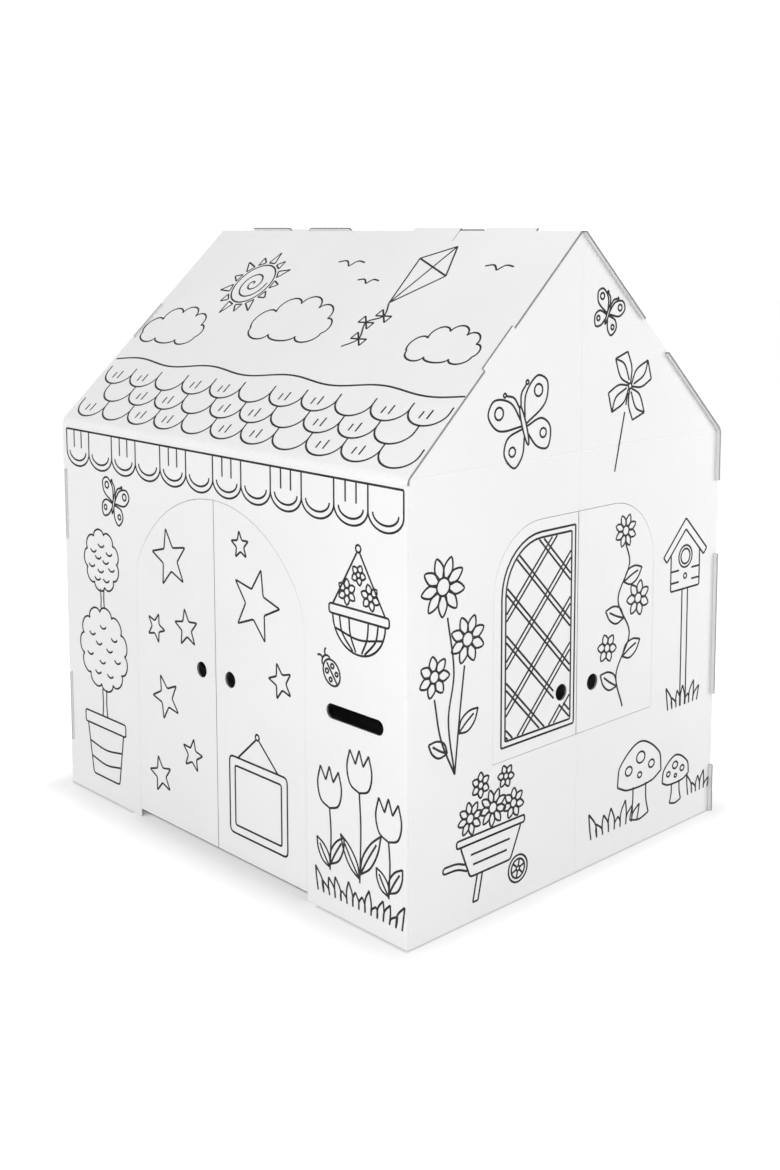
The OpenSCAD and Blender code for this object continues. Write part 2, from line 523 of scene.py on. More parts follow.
def slope_panel(name: str, side: float) -> Panel:
    """Describes a roof slope.

    Args:
        name: The panel's name.
        side: -1 for the front slope and 1 for the rear one.

    Returns:
        The panel, measured from the top of the eave's bend.
    """
    y = side * (EAVE_CENTRE_Y + EAVE_OUTER_R * math.sin(PITCH))
    z = EAVE_CENTRE_Z + EAVE_OUTER_R * math.cos(PITCH)
    return Panel(name, (0.0, y, z), (-side, 0.0, 0.0), (0.0, -side * math.cos(PITCH), math.sin(PITCH)))


UP = (0.0, 0.0, 1.0)
DOORS = FlapZone(0.206, 0.02, 0.545)
SHUTTERS = FlapZone(0.179, 0.2, 0.54)
FRONT_WALL = Panel("front_wall", (0.0, -HALF_D, 0.0), (1.0, 0.0, 0.0), UP, DOORS)
REAR_WALL = Panel("rear_wall", (0.0, HALF_D, 0.0), (-1.0, 0.0, 0.0), UP)
RIGHT_GABLE = Panel("right_gable", (HALF_L, 0.0, 0.0), (0.0, 1.0, 0.0), UP, SHUTTERS)
LEFT_GABLE = Panel("left_gable", (-HALF_L, 0.0, 0.0), (0.0, -1.0, 0.0), UP, SHUTTERS)
FRONT_SLOPE = slope_panel("front_slope", -1.0)
REAR_SLOPE = slope_panel("rear_slope", 1.0)
FLAPS = {
    "left_door": FRONT_WALL,
    "right_door": FRONT_WALL,
    "right_front_shutter": RIGHT_GABLE,
    "right_rear_shutter": RIGHT_GABLE,
    "left_front_shutter": LEFT_GABLE,
    "left_rear_shutter": LEFT_GABLE,
}


@dataclass
class CardStock:
    """The card's finishes, each made once and shared by the pieces."""

    inside: Triple = (0.8, 0.8, 0.795)
    # Painted shade of the flutes' ripples on the inner liner, stronger than outside.
    inside_ripple_shade: float = 0.12
    # Painted highlight: the folds' liner is a little lighter than the flat card.
    fold_highlight: Triple = (0.84, 0.84, 0.838)
    fold_sway: float = 0.32
    fold_cracks: float = 0.35
    rolled: float = 1.4
    made: dict[str, bpy.types.Material] = field(default_factory=dict)

    def finish(self, skin: Surface, panel: Panel) -> bpy.types.Material:
        """Finds or makes the finish of one skin of one panel.

        Args:
            skin: The skin of the board.
            panel: The panel that it is on.

        Returns:
            The material.
        """
        by_panel = skin in (Surface.EDGE, Surface.KERF)
        name = f"{skin.value}_{panel.name if by_panel else panel.flutes.name.lower()}"
        if name not in self.made:
            self.made[name] = self.describe(name, skin, panel).material()
        return self.made[name]

    def describe(self, name: str, skin: Surface, panel: Panel) -> LinerFinish | CutEdgeFinish:
        """Describes the finish of one skin.

        Args:
            name: The material's name.
            skin: The skin of the board.
            panel: The panel that it is on.

        Returns:
            The finish.
        """
        flutes = panel.flutes
        if skin in (Surface.EDGE, Surface.KERF):
            rolled = self.rolled if skin is Surface.KERF else 0.0
            return CutEdgeFinish(name, flutes, tuple(panel.normal), panel.reach, rolled)
        if skin is Surface.INNER:
            return LinerFinish(name, flutes, self.inside, ripple_shade=self.inside_ripple_shade)
        # Folds: the lighter tone is a painted highlight. Their cracks are real wear.
        if skin is Surface.FOLD:
            return LinerFinish(name, flutes, self.fold_highlight, sway_rise=self.fold_sway, cracks=self.fold_cracks)
        return LinerFinish(name, flutes, WHITE_CARD)


@dataclass
class CardPiece:
    """A CAD piece of card that gets liners on its faces and the fluted core on its cuts."""

    node: str
    panels: Sequence[Panel]
    side: float = 0.0
    face_share: float = 0.6
    crease_share: float = 0.8
    fold_room: float = 0.4 * MM
    skin_room: float = 0.5 * MM

    def fold_direction(self, spot: Vector) -> Vector | None:
        """Finds the board's outward direction where the sheet is bent.

        Args:
            spot: Middle of a face.

        Returns:
            The outward direction, or None away from the folds.
        """
        if not self.side:
            return None
        x, y = spot.x * -self.side, spot.y * self.side
        bend = Vector((0.0, y - EAVE_CENTRE_Y, spot.z - EAVE_CENTRE_Z))
        past_wall = bend.z > self.fold_room and bend.y > 0.0
        before_slope = bend.y * math.cos(PITCH) > bend.z * math.sin(PITCH) - self.fold_room
        if past_wall and before_slope and bend.length < EAVE_OUTER_R + self.fold_room:
            return Vector((0.0, bend.y * self.side, bend.z)).normalized()
        corner = Vector((x - CORNER_CENTRE[0], y - CORNER_CENTRE[1], 0.0))
        if min(corner.x, corner.y) > self.fold_room:
            return Vector((corner.x * -self.side, corner.y * self.side, 0.0)).normalized()
        return None

    def ends_slope(self, panel: Panel, inside: Sequence[Panel], spot: Vector) -> bool:
        """Says whether a face in a gable's plane is the cut end of the slope above it.

        Args:
            panel: The panel whose plane the face is in.
            inside: The panels whose thickness the face's middle is in.
            spot: Middle of the face.

        Returns:
            True for a slope's end, False elsewhere and on the tabs that go through the slope.
        """
        slope = next((p for p in inside if p in (FRONT_SLOPE, REAR_SLOPE)), panel)
        up = Vector(slope.up).dot(spot - Vector(slope.corner))
        return slope is not panel and abs(up - RAKE_TAB_MID) > RAKE_TAB_HALF

    def sort_face(self, face: bpy.types.MeshPolygon) -> tuple[Surface, Panel]:
        """Says which skin of which panel a face is.

        Args:
            face: A face of the node's mesh.

        Returns:
            The skin and the panel.
        """
        spot, normal = face.center, face.normal
        depths = {p.name: p.reach - p.normal.dot(spot) for p in self.panels}
        room = self.skin_room
        inside = [p for p in self.panels if -room < depths[p.name] < BOARD_T + room]
        nearest = min(inside or self.panels, key=lambda p: abs(depths[p.name] - BOARD_T / 2))
        bend = self.fold_direction(spot)
        if bend is not None:
            share = bend.dot(normal)
            skin = Surface.FOLD if share > self.face_share else Surface.INNER
            return (skin if abs(share) > self.face_share else Surface.EDGE), nearest
        for panel in reversed(inside):
            share = panel.normal.dot(normal)
            if abs(share) > self.crease_share and not self.ends_slope(panel, inside, spot):
                return (Surface.OUTER if share > 0 else Surface.INNER), panel
        return nearest.cut_skin(spot), nearest

    def dress(self, stock: CardStock) -> None:
        """Gives each face of the node its finish.

        Args:
            stock: The finishes of the card.
        """
        mesh = frame["nodes"][self.node].data
        mesh.materials.clear()
        places: dict[str, int] = {}
        for face in mesh.polygons:
            material = stock.finish(*self.sort_face(face))
            if material.name not in places:
                places[material.name] = len(places)
                mesh.materials.append(material)
            face.material_index = places[material.name]
        log.info("dressed %s with %d finishes", self.node, len(places))


@dataclass
class Stroke:
    """One line of a drawing, already close enough in points to be drawn straight between them."""

    points: list[Point]
    closed: bool = False


def smooth_path(points: Sequence[Point], step: float) -> list[Point]:
    """Runs a smooth curve through some points.

    Args:
        points: Points that the curve passes through.
        step: Distance between the points of the result.

    Returns:
        The curve's points.
    """
    last = len(points) - 1
    path: list[Point] = []
    for i in range(last):
        before, start, end, after = (Vector(points[min(max(i + k, 0), last)]) for k in (-1, 0, 1, 2))
        chord = (end - start).length
        lead = (end - before) * (chord / max(chord + (start - before).length, LEAST_LENGTH))
        follow = (after - start) * (chord / max(chord + (after - end).length, LEAST_LENGTH))
        parts = max(2, round(chord / step))
        for k in range(parts):
            t = k / parts
            a, b = 2 * t**3 - 3 * t**2 + 1, t**3 - 2 * t**2 + t
            c, d = 3 * t**2 - 2 * t**3, t**3 - t**2
            spot = start * a + lead * b + end * c + follow * d
            path.append((spot.x, spot.y))
    return [*path, tuple(points[-1])]


def rounded_path(points: Sequence[Point], closed: bool, radius: float) -> list[Point]:
    """Joins points by straight lines whose corners are a little round.

    Args:
        points: The corners.
        closed: Whether the last joins the first.
        radius: How far from a corner its rounding starts, where the sides are long enough.

    Returns:
        The outline's points.
    """
    count = len(points)
    path: list[Point] = []
    for i, corner in enumerate(points):
        if not closed and i in (0, count - 1):
            path.append(tuple(corner))
            continue
        here = Vector(corner)
        back, ahead = Vector(points[i - 1]) - here, Vector(points[(i + 1) % count]) - here
        reach = min(radius, back.length * CORNER_SHARE, ahead.length * CORNER_SHARE)
        start, end = here + back.normalized() * reach, here + ahead.normalized() * reach
        for t in (0.0, 0.25, 0.5, 0.75, 1.0):
            spot = start * (1 - t) ** 2 + here * (2 * t * (1 - t)) + end * t**2
            path.append((spot.x, spot.y))
    return path


@dataclass
class Sketch:
    """A line drawing in millimetres, made of strokes."""

    strokes: list[Stroke] = field(default_factory=list)
    step: float = 4.5

    def curve(self, *points: Point) -> "Sketch":
        """Adds a smooth line through points."""
        self.strokes.append(Stroke(smooth_path(points, self.step)))
        return self

    def lines(self, *points: Point, closed: bool = False, radius: float = 2.5) -> "Sketch":
        """Adds straight lines with slightly round corners."""
        self.strokes.append(Stroke(rounded_path(points, closed, radius), closed))
        return self

    def box(self, half: float, top: float, foot: float, radius: float) -> "Sketch":
        """Adds an upright rectangle about the middle line."""
        corners = ((-half, top), (half, top), (half, foot), (-half, foot))
        return self.lines(*corners, closed=True, radius=radius)

    def arc(self, centre: Point, wide: float, high: float, start: float, end: float) -> "Sketch":
        """Adds part of an ellipse.

        Args:
            centre: Its middle.
            wide: Half its width.
            high: Half its height.
            start: First angle, in degrees.
            end: Last angle, in degrees, a whole turn on for a closed ring.

        Returns:
            This sketch.
        """
        sweep = math.radians(end - start)
        whole = abs(end - start) == 360
        parts = max(LEAST_PARTS, round(abs(sweep) * max(wide, high) / self.step))
        points = []
        for i in range(parts + (not whole)):
            angle = math.radians(start) + sweep * i / parts
            points.append((centre[0] + wide * math.cos(angle), centre[1] + high * math.sin(angle)))
        self.strokes.append(Stroke(points, whole))
        return self

    def ring(self, centre: Point, wide: float, high: float | None = None) -> "Sketch":
        """Adds a circle, or an ellipse where a height is given."""
        return self.arc(centre, wide, wide if high is None else high, 0, 360)

    def puffs(self, *points: Point, bulge: float = 0.42, closed: bool = True) -> "Sketch":
        """Adds a scalloped outline.

        Args:
            points: Corners between the scallops, anticlockwise.
            bulge: Depth of a scallop as a share of its width.
            closed: Whether a scallop joins the last corner to the first.

        Returns:
            This sketch.
        """
        count = len(points)
        for i in range(count if closed else count - 1):
            start, end = Vector(points[i]), Vector(points[(i + 1) % count])
            middle, half = (start + end) / 2, (end - start) / 2
            out = Vector((half.y, -half.x)) * (2 * bulge)
            # A scallop is about three times as long as half its width.
            parts = max(LEAST_PARTS, round(half.length * 3 / self.step))
            turns = [math.pi * k / parts for k in range(parts + 1)]
            spots = [middle - half * math.cos(t) + out * math.sin(t) for t in turns]
            self.strokes.append(Stroke([(s.x, s.y) for s in spots]))
        return self

    def add(
        self,
        other: "Sketch",
        at: Point = (0, 0),
        size: float = 1,
        turn: float = 0,
        flip: bool = False,
    ) -> "Sketch":
        """Adds another drawing.

        Args:
            other: The drawing.
            at: Where its origin goes.
            size: How much larger it is drawn.
            turn: How far it is turned, in degrees, anticlockwise.
            flip: Whether it is first mirrored left to right.

        Returns:
            This sketch.
        """
        cos, sin = math.cos(math.radians(turn)) * size, math.sin(math.radians(turn)) * size
        for stroke in other.strokes:
            moved = []
            for u, v in stroke.points:
                u = -u if flip else u
                moved.append((at[0] + u * cos - v * sin, at[1] + u * sin + v * cos))
            self.strokes.append(Stroke(moved, stroke.closed))
        return self

    def mirrored(self) -> "Sketch":
        """Adds this drawing's own mirror image, left to right."""
        return self.add(Sketch(list(self.strokes)), flip=True)

    def clipped(self, inside: Callable[[Point], bool]) -> "Sketch":
        """Keeps what lies inside an outline.

        Args:
            inside: Says whether a point is kept.

        Returns:
            A new sketch of straight pieces.
        """
        kept = Sketch()
        for stroke in self.strokes:
            for start, end in zip(stroke.points, stroke.points[1:]):
                span = Vector(end) - Vector(start)
                parts = max(1, round(span.length / CLIP_STEP))
                spots = [Vector(start) + span * (i / parts) for i in range(parts + 1)]
                run: list[Vector] = []
                for spot in [*spots, None]:
                    if spot is not None and inside((spot.x, spot.y)):
                        run.append(spot)
                        continue
                    if len(run) >= CLIP_LEAST:
                        kept.strokes.append(Stroke([tuple(run[0]), tuple(run[-1])]))
                    run = []
        return kept


@dataclass(frozen=True)
class Pen:
    """The printed line: its width and how far it stands off the card, in millimetres."""

    width: float = 3.1
    height: float = 0.16
    gap: float = 0.03

    def draw(self, name: str, sketch: Sketch, panel: Panel) -> bpy.types.Object:
        """Makes a drawing a thin solid line on a panel.

        Args:
            name: The piece's name.
            sketch: The drawing, in millimetres on the panel.
            panel: The panel that carries it.

        Returns:
            The finished mesh object.
        """
        curve = add_object(bpy.ops.curve.primitive_bezier_curve_add, name).data
        curve.splines.clear()
        curve.dimensions = "3D"
        curve.twist_mode = "Z_UP"
        curve.bevel_depth = self.width / 2
        curve.bevel_resolution = 0
        curve.use_fill_caps = True
        for stroke in sketch.strokes:
            spline = curve.splines.new("POLY")
            spline.points.add(len(stroke.points) - 1)
            for point, (u, v) in zip(spline.points, stroke.points):
                point.co = (u, v, 0.0, 1.0)
            spline.use_cyclic_u = stroke.closed
        bpy.ops.object.convert(target="MESH")
        piece = bpy.context.object
        flat = Matrix.Diagonal((1.0, 1.0, self.height / self.width, 1.0))
        lift = (self.gap + self.height / 2) * MM
        piece.matrix_world = panel.matrix(lift) @ flat
        bpy.ops.object.transform_apply(location=True, rotation=True, scale=True)
        piece.data.name = name
        return piece


def polar(reach: float, angle: float, centre: Point = (0, 0)) -> Point:
    """Place at a distance and an angle, in radians, from a centre."""
    return centre[0] + reach * math.cos(angle), centre[1] + reach * math.sin(angle)


def star(radius: float) -> Sketch:
    """Draws a five-point star.

    Args:
        radius: Distance of its points from its middle.

    Returns:
        The drawing, about the origin.
    """
    reaches = (radius, radius * 0.42)
    corners = (polar(reaches[i % 2], math.pi / 2 + math.pi * i / 5) for i in range(10))
    return Sketch().lines(*corners, closed=True, radius=3)


def starry(*stars: tuple[float, float, float, float]) -> Sketch:
    """Draws some stars.

    Args:
        stars: Place, radius and turn in degrees of each.

    Returns:
        The drawing.
    """
    drawn = Sketch()
    for u, v, radius, turn in stars:
        drawn.add(star(radius), (u, v), turn=turn)
    return drawn


def daisy(radius: float, petals: int) -> Sketch:
    """Draws a flower head seen from the front.

    Args:
        radius: Distance of the petals' tips from the middle.
        petals: Number of petals.

    Returns:
        The drawing, about the origin.
    """
    heart, shoulder, half = radius * 0.3, radius * 0.66, math.pi / petals
    petal = ((heart, -0.72), (shoulder, -0.9), (radius, 0), (shoulder, 0.9), (heart, 0.72))
    head = Sketch().ring((0, 0), heart)
    for i in range(petals):
        middle = 2 * math.pi * i / petals + half
        head.curve(*(polar(reach, middle + share * half) for reach, share in petal))
    return head


def leaf(length: float, width: float) -> Sketch:
    """Draws a leaf with its rib.

    Args:
        length: Distance from its foot to its tip.
        width: About its largest width.

    Returns:
        The drawing, which grows from the origin to the right.
    """
    side = [(0, 0), (length * 0.3, width * 0.45), (length * 0.68, width * 0.4), (length, 0)]
    drawn = Sketch().curve(*side).curve(*((u, -v) for u, v in side))
    return drawn.curve((0, 0), (length * 0.4, width * 0.04), (length * 0.78, 0))


def tulip(stem: float) -> Sketch:
    """Draws a tulip.

    Args:
        stem: Length of its stem.

    Returns:
        The drawing, with the cup on the origin and the stem below.
    """
    drawn = Sketch().curve((0, 0), (-21, 9), (-29, 36), (-22, 66)).mirrored()
    drawn.lines((-22, 66), (-9, 45), (0, 70), (9, 45), (22, 66))
    drawn.curve((0, 0), (3, -stem * 0.4), (0, -stem))
    drawn.add(leaf(stem * 0.62, 24), (1, -stem * 0.9), turn=58)
    return drawn.add(leaf(stem * 0.52, 22), (0, -stem * 0.96), turn=126)


def grass(width: float, height: float, blades: int) -> Sketch:
    """Draws a tuft of grass.

    Args:
        width: Width of its foot.
        height: Height of its tallest blade.
        blades: Number of blades.

    Returns:
        The drawing, which stands on the origin.
    """
    drawn = Sketch()
    pitch = width / blades
    for i in range(blades):
        foot = -width / 2 + pitch * i
        lean = (foot + pitch / 2) / width * height * 0.7
        tall = height * (0.72 + 0.28 * math.cos(2.4 * i))
        tip = (foot + pitch / 2 + lean, tall)
        drawn.curve((foot, 0), (foot + lean * 0.3, tall * 0.55), tip)
        drawn.curve(tip, (foot + pitch + lean * 0.25, tall * 0.5), (foot + pitch, 0))
    return drawn


def bushy_ball(radius: float, lobes: int) -> Sketch:
    """Draws a clipped bush with a scalloped outline and leaf marks inside.

    Args:
        radius: Distance of the corners between the scallops from the middle.
        lobes: Number of scallops.

    Returns:
        The drawing, about the origin.
    """
    corners = (polar(radius, 2 * math.pi * i / lobes) for i in range(lobes))
    drawn = Sketch().puffs(*corners, bulge=0.36)
    mark = Sketch().arc((0, 0), 9, 7, 200, 340)
    for share, count in ((0.3, 3), (0.68, 7)):
        for i in range(count):
            drawn.add(mark, polar(radius * share, 2 * math.pi * i / count + share))
    return drawn


def topiary() -> Sketch:
    """Draws a clipped tree of two balls in a pot.

    Returns:
        The drawing, which stands on the origin.
    """
    half, foot, base, top = 52, 38, 84, 104
    drawn = Sketch().box(half + 7, top, base, 5)
    drawn.lines((-half, base), (-foot, 0), (foot, 0), (half, base), radius=6)
    for share in (0.34, 0.64):
        reach, level = foot + (half - foot) * share, base * share
        drawn.curve((-reach, level), (0, level - 6), (reach, level))
    for side in (-1, 1):
        drawn.curve((side * 7, top), (side * 5, 124), (side * 6, 150))
        drawn.curve((side * 5, 285), (side * 4, 300), (side * 5, 316))
    return drawn.add(bushy_ball(60, 11), (0, 217)).add(bushy_ball(43, 9), (0, 363))


def butterfly() -> Sketch:
    """Draws a butterfly seen from above.

    Returns:
        The drawing, about the origin.
    """
    wing = Sketch().curve((4, 8), (17, 42), (48, 58), (66, 42), (52, 14), (5, 1))
    wing.curve((5, -3), (38, -4), (52, -24), (38, -50), (17, -40), (4, -14))
    wing.ring((44, 37), 9).ring((35, -26), 7)
    wing.curve((2, 29), (8, 46), (22, 55)).ring((25, 57), 3)
    return wing.mirrored().ring((0, 0), 4.6, 30)


def cloud(width: float) -> Sketch:
    """Draws a cloud with a flat foot.

    Args:
        width: Its width between the outer corners.

    Returns:
        The drawing, which stands on the origin.
    """
    top = ((0.5, 0.06), (0.44, 0.24), (0.22, 0.36), (-0.06, 0.4), (-0.32, 0.28), (-0.5, 0.06))
    foot = ((-0.18, 0), (0.2, 0), (0.5, 0.06))
    corners = [(u * width, v * width) for u, v in top + foot]
    drawn = Sketch().puffs(*corners[: len(top)], closed=False)
    for i, bulge in ((5, 0.3), (6, 0.18), (7, 0.3)):
        drawn.puffs(corners[i], corners[i + 1], bulge=bulge, closed=False)
    return drawn


def sun(radius: float) -> Sketch:
    """Draws a sun with a spiral in its disc and pointed rays.

    Args:
        radius: Radius of the disc.

    Returns:
        The drawing, about the origin.
    """
    rays = 13
    drawn = Sketch().ring((0, 0), radius)
    drawn.curve(*(polar(radius * 0.034 * i, 0.55 * i) for i in range(24)))
    for i in range(rays):
        middle = 2 * math.pi * i / rays
        foot, tip = radius * 1.14, radius * (1.72 if i % 2 else 1.5)
        ray = ((foot, -0.17), (tip, 0), (foot, 0.17))
        drawn.lines(*(polar(reach, middle + shift) for reach, shift in ray), closed=True)
    return drawn


def kite() -> Sketch:
    """Draws a diamond kite with a tail of bows.

    Returns:
        The drawing, with the crossing of the kite's sticks near the origin.
    """
    corners = ((0, 78), (54, 18), (0, -86), (-54, 18))
    drawn = Sketch().lines(*corners, closed=True)
    drawn.lines(corners[0], corners[2]).lines(corners[1], corners[3])
    tail = [corners[2], (24, -112), (2, -142), (30, -174), (12, -206)]
    drawn.curve(*tail)
    for u, v in tail[1:4]:
        for side in (-19, 19):
            drawn.lines((u, v), (u + side, v + 9), (u + side, v - 9), closed=True)
    return drawn


def bird() -> Sketch:
    """Draws a far-off bird as two wing strokes."""
    return Sketch().curve((0, 0), (14, 13), (34, 10)).mirrored()


def bird_house(post: float) -> Sketch:
    """Draws a bird house on a post.

    Args:
        post: Length of the post.

    Returns:
        The drawing, with the floor of the house on the origin.
    """
    roof = ((-62, 62), (0, 122), (62, 62), (53, 52), (0, 103), (-53, 52))
    drawn = Sketch().lines(*roof, closed=True)
    drawn.lines((-41, 63), (-41, 0), (41, 0), (41, 63), radius=4)
    drawn.ring((0, 56), 13).ring((0, 56), 19).ring((0, 22), 4.5)
    for v in (14, 34):
        drawn.lines((-41, v), (-18, v)).lines((18, v), (41, v))
    for side in (-8, 8):
        drawn.lines((side, 0), (side, -post))
    return drawn.add(grass(84, 40, 7), (0, -post))


def hanging_basket() -> Sketch:
    """Draws a basket of flowers on two cords.

    Returns:
        The drawing, hung from the origin.
    """
    band_top, band_foot = -92, -106
    drawn = Sketch().ring((0, -5), 5.5)
    drawn.lines((-3, -11), (-54, band_top)).lines((3, -11), (54, band_top))
    drawn.box(62, band_top, band_foot, 5)
    drawn.arc((0, band_foot), 54, 50, 180, 360)
    for side in (-1, 1):
        for reach in (20, 40):
            drawn.curve((side * reach, band_foot), (side * reach * 0.86, -130), (side * reach * 0.3, -153))
    drawn.curve((-48, -126), (0, -134), (48, -126))
    drawn.add(daisy(19, 6), (-24, -70)).add(daisy(19, 6), (24, -70), turn=15)
    return drawn.add(daisy(15, 5), (0, -42), turn=30)


def sign_board() -> Sketch:
    """Draws a bare framed board on a cord.

    Returns:
        The drawing, hung from the origin.
    """
    drawn = Sketch().ring((0, 0), 4.5).lines((-46, -42), (-3, -4)).lines((3, -4), (46, -42))
    return drawn.box(66, -42, -158, 9).box(53, -55, -145, 4)


def barrow() -> Sketch:
    """Draws a wheelbarrow full of flowers.

    Returns:
        The drawing, which stands on the origin with its wheel at the right.
    """
    drawn = Sketch().lines((-84, 116), (84, 116), (54, 52), (-58, 52), closed=True, radius=7)
    drawn.box(94, 130, 116, 5)
    axle, hub, rim, tyre = (76, 27), 5, 19, 27
    drawn.ring(axle, tyre).ring(axle, rim).ring(axle, hub)
    for i in range(6):
        angle = math.pi * i / 3 + 0.3
        drawn.lines(polar(hub, angle, axle), polar(rim, angle, axle))
    drawn.lines((-38, 52), (-50, 0), (-36, 0), (-24, 52), radius=3)
    drawn.curve((-66, 66), (-92, 76), (-124, 78)).curve((-71, 80), (-94, 88), (-124, 90))
    drawn.arc((-124, 84), 6, 6, 90, 270)
    drawn.lines((-56, 94), (52, 94)).lines((-50, 74), (44, 74))
    for u, radius, petals in ((-58, 33, 8), (4, 37, 9), (62, 30, 7)):
        drawn.add(daisy(radius, petals), (u, 132 + radius), turn=u)
    return drawn.add(daisy(25, 6), (-30, 222)).add(daisy(23, 6), (40, 221), turn=20)


def mushroom() -> Sketch:
    """Draws a toadstool.

    Returns:
        The drawing, which stands on the origin.
    """
    drawn = Sketch().curve((-52, 56), (-46, 86), (0, 112), (46, 86), (52, 56))
    drawn.curve((-52, 56), (-28, 46), (28, 46), (52, 56))
    for side in (-1, 1):
        drawn.curve((side * 15, 47), (side * 16, 22), (side * 22, 0))
    drawn.curve((-22, 0), (0, -5), (22, 0))
    for u, v, radius in ((-26, 74, 8), (2, 88, 10), (28, 72, 7), (0, 62, 5)):
        drawn.ring((u, v), radius, radius * 0.85)
    return drawn


def pinwheel() -> Sketch:
    """Draws a paper windmill on a stick.

    Returns:
        The drawing, with the windmill's hub at the origin.
    """
    drawn = Sketch().ring((0, 0), 5)
    blade = Sketch().curve((3, 4), (10, 30), (38, 52)).lines((38, 52), (56, 22))
    blade.curve((56, 22), (32, 4), (5.5, 0)).curve((38, 52), (34, 26), (9, 5))
    for i in range(4):
        drawn.add(blade, turn=90 * i)
    return drawn.lines((-3, -12), (-3, -34)).lines((-3, -46), (-3, -150))


def ladybird() -> Sketch:
    """Draws a ladybird seen from above.

    Returns:
        The drawing, about the origin.
    """
    drawn = Sketch().ring((0, 0), 22, 26).lines((0, 22), (0, -26)).arc((0, 24), 13, 11, 0, 180)
    half = Sketch().ring((9.5, 9), 4.5).ring((10.5, -9), 4).curve((5, 34), (8, 42), (15, 45))
    return drawn.add(half.mirrored())


def climber() -> Sketch:
    """Draws a climbing plant with blossoms.

    Returns:
        The drawing, which rises from the origin.
    """
    drawn = Sketch().curve((0, 0), (-16, 52), (14, 108), (-14, 164), (12, 214), (2, 246))
    for u, v, turn in ((-14, 34, 148), (-2, 76, 24), (0, 134, 158), (-1, 188, 20)):
        drawn.add(leaf(46, 26), (u, v), turn=turn)
    drawn.add(daisy(27, 7), (34, 158)).add(daisy(22, 6), (-38, 96), turn=20)
    return drawn.add(daisy(25, 8), (2, 264))


def scallops(start: float, end: float, level: float, count: int, drop: float) -> Sketch:
    """Draws a row of hanging half-rounds.

    Args:
        start: Left end of the row.
        end: Right end of the row.
        level: Height of the points between the half-rounds.
        count: Number of half-rounds.
        drop: How far each hangs below the level.

    Returns:
        The row.
    """
    pitch = (end - start) / count
    drawn = Sketch()
    for i in range(count):
        drawn.arc((start + pitch * (i + 0.5), level), pitch / 2, drop, 180, 360)
    return drawn


@dataclass(frozen=True)
class Awning:
    """Striped and scalloped awning printed along the top of a long wall."""

    half: float = 397.0
    top: float = 603.0
    points: float = 568.0
    drop: float = 24.0
    count: int = 12
    hem: float = 9.0
    stripes: Point = (0.34, 0.66)
    stripe_foot: float = 574.0

    def sketch(self) -> Sketch:
        """Draws the awning.

        Returns:
            The drawing.
        """
        drawn = Sketch().lines((-self.half, self.top), (self.half, self.top))
        drawn.add(scallops(-self.half, self.half, self.points, self.count, self.drop))
        pitch = 2 * self.half / self.count
        for i in range(self.count + 1):
            u = -self.half + pitch * i
            drawn.lines((u, self.top), (u, self.points))
            if i < self.count:
                middle = (u + pitch / 2, self.points)
                drawn.arc(middle, pitch / 2 - self.hem, self.drop - self.hem, 180, 360)
            if i < self.count and i % 2 == 0:
                for share in self.stripes:
                    drawn.lines((u + pitch * share, self.top), (u + pitch * share, self.stripe_foot))
        return drawn


@dataclass(frozen=True)
class Shingles:
    """Rows of round-ended shingles printed along the foot of a roof slope, under a wavy line."""

    half: float = 396.0
    foot: float = 34.0
    row: float = 36.0
    rows: int = 3
    count: int = 11
    drop: float = 26.0
    mark_drop: float = 14.0
    marks: tuple[Point, ...] = ((-10.0, 12.0), (4.0, 16.0))
    wave_half: int = 402
    wave_step: int = 12
    wave_drop: float = 8.0
    wave_rise: float = 5.0
    wave_length: float = 31.0

    def sketch(self) -> Sketch:
        """Draws the shingles.

        Returns:
            The drawing.
        """
        drawn = Sketch()
        pitch = 2 * self.half / self.count
        for i in range(self.rows):
            level = self.foot + self.row * i
            count = self.count - i % 2
            start = -self.half + pitch / 2 * (i % 2)
            drawn.add(scallops(start, -start, level, count, self.drop))
            for k in range(count):
                for shift, tall in self.marks if (k + i) % 3 != 1 else ():
                    u, v = start + pitch * (k + 0.5) + shift, level - self.mark_drop
                    drawn.lines((u, v), (u + 1, v + tall))
            for k in range(count + 1):
                u = start + pitch * k
                drawn.lines((u, level), (u, level + self.row - self.drop))
        level = self.foot + self.row * self.rows - self.wave_drop
        steps = range(-self.wave_half, self.wave_half + 1, self.wave_step)
        return drawn.curve(*((u, level + self.wave_rise * math.sin(u / self.wave_length)) for u in steps))


